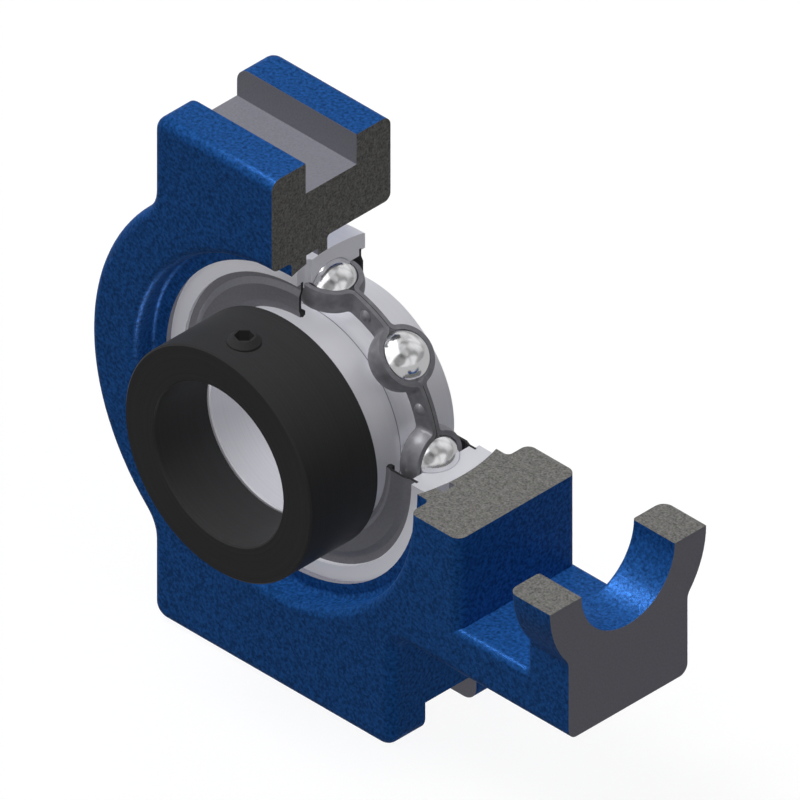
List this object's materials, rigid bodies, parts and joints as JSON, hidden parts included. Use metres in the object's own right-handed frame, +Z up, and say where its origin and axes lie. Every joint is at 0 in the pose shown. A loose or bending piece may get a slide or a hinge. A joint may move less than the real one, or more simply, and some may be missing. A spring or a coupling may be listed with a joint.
{
  "type": "take up bearing unit",
  "caption": "Take-up ball bearing unit in a slotted cast housing with an eccentric locking collar, shown as a cutaway with one quarter removed.",
  "frame": {"origin": "centre of the bearing, on the shaft axis in the plane of the balls", "axes": "+X towards the adjusting-screw lug, +Y along the shaft away from the collar, +Z up"},
  "size_m": [0.113, 0.0451, 0.102],
  "materials": {
    "cast_housing": "blue textured paint, bare iron on the cut faces, machined grooves and end face",
    "ring_steel": "ground bearing steel",
    "ball_steel": "polished",
    "cage_steel": "pressed sheet, satin",
    "seal_steel": "pressed sheet, dull grey",
    "seal_rubber": "matte",
    "black_steel": "black oxide, semi-matte"
  },
  "bodies": {
    "housing": {"housing": "cast_housing"},
    "insert": {"outer_ring": "ring_steel", "front_seal_plate": "seal_steel", "front_seal_lip": "seal_rubber", "rear_seal_plate": "seal_steel", "rear_seal_lip": "seal_rubber"},
    "inner_ring": {"inner_ring": "ring_steel"},
    "cage": {"cage_front": "cage_steel", "cage_back": "cage_steel", "cage_rivets": "cage_steel"},
    "collar": {"locking_collar": "black_steel"},
    "set_screw": {"set_screw": "black_steel"},
    "ball_1": {"ball_1": "ball_steel"},
    "ball_2": {"ball_2": "ball_steel"},
    "ball_3": {"ball_3": "ball_steel"},
    "ball_4": {"ball_4": "ball_steel"},
    "ball_5": {"ball_5": "ball_steel"},
    "ball_6": {"ball_6": "ball_steel"},
    "ball_7": {"ball_7": "ball_steel"},
    "ball_8": {"ball_8": "ball_steel"}
  },
  "joints": [
    {"name": "insert_swivel", "type": "hinge", "parent": "housing", "child": "insert", "pos_m": [0, 0, 0], "axis": [0, 0, 1], "range_deg": [-5, 5]},
    {"name": "shaft_spin", "type": "hinge", "parent": "insert", "child": "inner_ring", "pos_m": [0, 0, 0], "axis": [0, 1, 0], "continuous": true},
    {"name": "cage_orbit", "type": "hinge", "parent": "insert", "child": "cage", "pos_m": [0, 0, 0], "axis": [0, 1, 0], "continuous": true},
    {"name": "collar_lock", "type": "hinge", "parent": "inner_ring", "child": "collar", "pos_m": [0, 0, 0], "axis": [0, 1, 0], "range_deg": [-13, 13]},
    {"name": "set_screw_travel", "type": "slide", "parent": "collar", "child": "set_screw", "axis": [0, 0, -1], "range_m": [-0.001, 0.0006]},
    {"name": "ball_1_roll", "type": "hinge", "parent": "cage", "child": "ball_1", "pos_m": [0, 0, 0.0235], "axis": [0, 1, 0], "continuous": true},
    {"name": "ball_2_roll", "type": "hinge", "parent": "cage", "child": "ball_2", "pos_m": [0.01662, 0, 0.01662], "axis": [0, 1, 0], "continuous": true},
    {"name": "ball_3_roll", "type": "hinge", "parent": "cage", "child": "ball_3", "pos_m": [0.0235, 0, 0], "axis": [0, 1, 0], "continuous": true},
    {"name": "ball_4_roll", "type": "hinge", "parent": "cage", "child": "ball_4", "pos_m": [0.01662, 0, -0.01662], "axis": [0, 1, 0], "continuous": true},
    {"name": "ball_5_roll", "type": "hinge", "parent": "cage", "child": "ball_5", "pos_m": [0, 0, -0.0235], "axis": [0, 1, 0], "continuous": true},
    {"name": "ball_6_roll", "type": "hinge", "parent": "cage", "child": "ball_6", "pos_m": [-0.01662, 0, -0.01662], "axis": [0, 1, 0], "continuous": true},
    {"name": "ball_7_roll", "type": "hinge", "parent": "cage", "child": "ball_7", "pos_m": [-0.0235, 0, 0], "axis": [0, 1, 0], "continuous": true},
    {"name": "ball_8_roll", "type": "hinge", "parent": "cage", "child": "ball_8", "pos_m": [-0.01662, 0, 0.01662], "axis": [0, 1, 0], "continuous": true}
  ],
  "couplings": [
    {"joint": "cage_orbit", "follows": "shaft_spin", "ratio": 0.39867},
    {"joint": "ball_1_roll", "follows": "shaft_spin", "ratio": -2.3659},
    {"joint": "ball_2_roll", "follows": "shaft_spin", "ratio": -2.3659},
    {"joint": "ball_3_roll", "follows": "shaft_spin", "ratio": -2.3659},
    {"joint": "ball_4_roll", "follows": "shaft_spin", "ratio": -2.3659},
    {"joint": "ball_5_roll", "follows": "shaft_spin", "ratio": -2.3659},
    {"joint": "ball_6_roll", "follows": "shaft_spin", "ratio": -2.3659},
    {"joint": "ball_7_roll", "follows": "shaft_spin", "ratio": -2.3659},
    {"joint": "ball_8_roll", "follows": "shaft_spin", "ratio": -2.3659}
  ]
}
